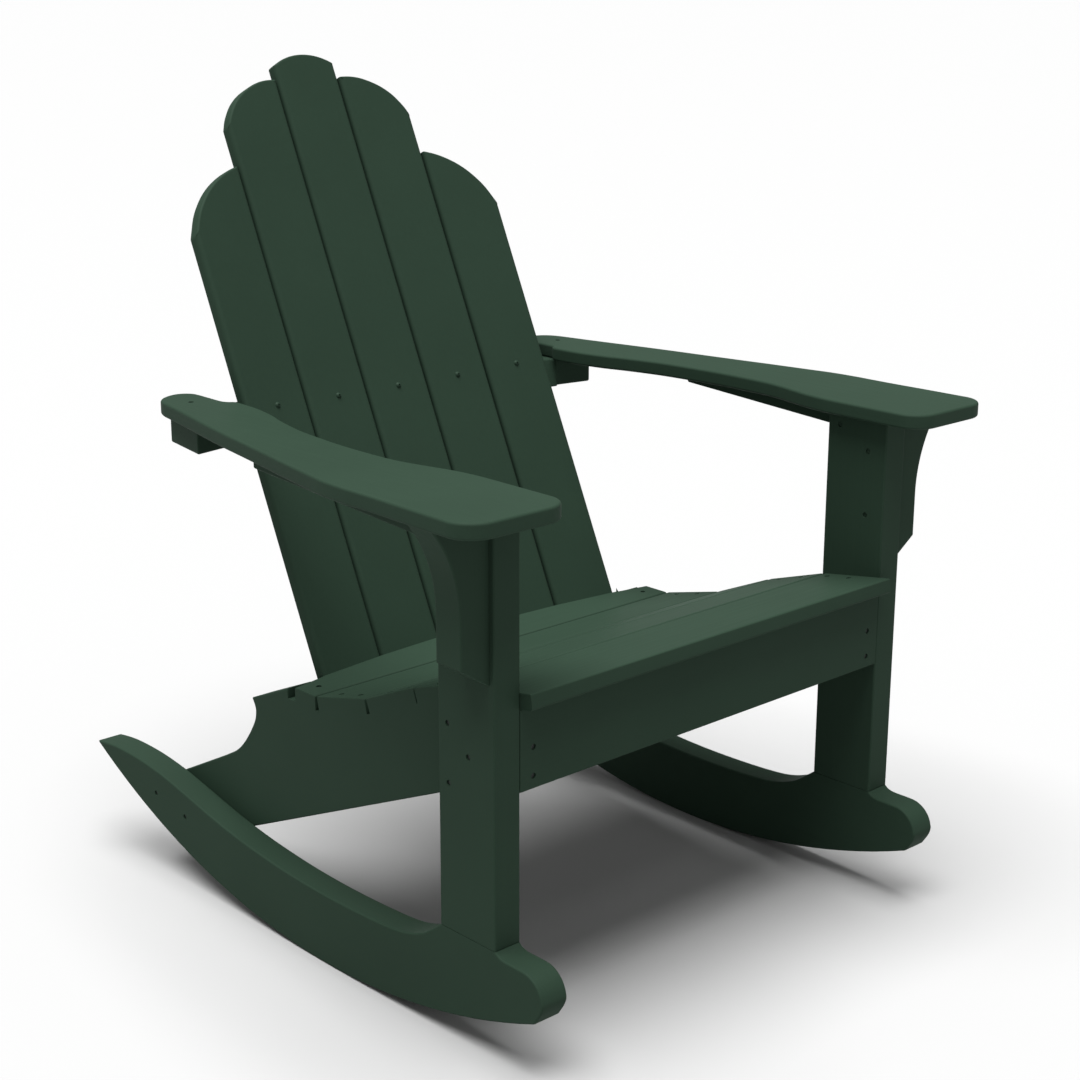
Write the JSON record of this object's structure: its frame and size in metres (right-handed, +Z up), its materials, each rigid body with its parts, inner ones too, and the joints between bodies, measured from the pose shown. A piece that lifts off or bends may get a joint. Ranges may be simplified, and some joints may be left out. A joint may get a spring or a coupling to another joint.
{
  "type": "rocking adirondack chair",
  "caption": "Outdoor rocking chair of flat boards: reclined slatted back with a stepped rounded top, scooped slat seat, wide flared arms on square legs, and two long curved rockers.",
  "frame": {"origin": "centre of the bounding box in X and Y, on the floor plane that the rockers touch", "axes": "+Z up; the sitter faces -Y, so +Y is to the rear; +X is the sitter's left; X = 0 is the plane of symmetry"},
  "size_m": [0.8036, 0.8374, 0.9791],
  "materials": {
    "green_lumber": "dark green plastic lumber, matt, with a faint brushed texture",
    "dark_steel": "dark green-black coated screw heads"
  },
  "bodies": {
    "root": {"rocker_left": "green_lumber", "rocker_right": "green_lumber", "leg_left": "green_lumber", "leg_right": "green_lumber", "stringer_left": "green_lumber", "stringer_right": "green_lumber", "front_apron": "green_lumber", "seat_slat_1": "green_lumber", "seat_slat_2": "green_lumber", "seat_slat_3": "green_lumber", "seat_slat_4": "green_lumber", "seat_slat_5": "green_lumber", "back_slat_1": "green_lumber", "back_slat_2": "green_lumber", "back_slat_3": "green_lumber", "back_slat_4": "green_lumber", "back_slat_5": "green_lumber", "upper_back_rail": "green_lumber", "lower_back_rail": "green_lumber", "arm_left": "green_lumber", "arm_right": "green_lumber", "arm_bracket_left": "green_lumber", "arm_bracket_right": "green_lumber", "arm_cleat_left": "green_lumber", "arm_cleat_right": "green_lumber", "upper_back_screws": "dark_steel", "lower_back_screws": "dark_steel", "seat_screws": "dark_steel", "lower_rail_screws": "dark_steel", "apron_screws": "dark_steel", "leg_screws": "dark_steel", "bracket_screws": "dark_steel", "cleat_screws": "dark_steel", "arm_screws": "dark_steel", "rocker_screws": "dark_steel", "foot_screws": "dark_steel"}
  },
  "joints": []
}
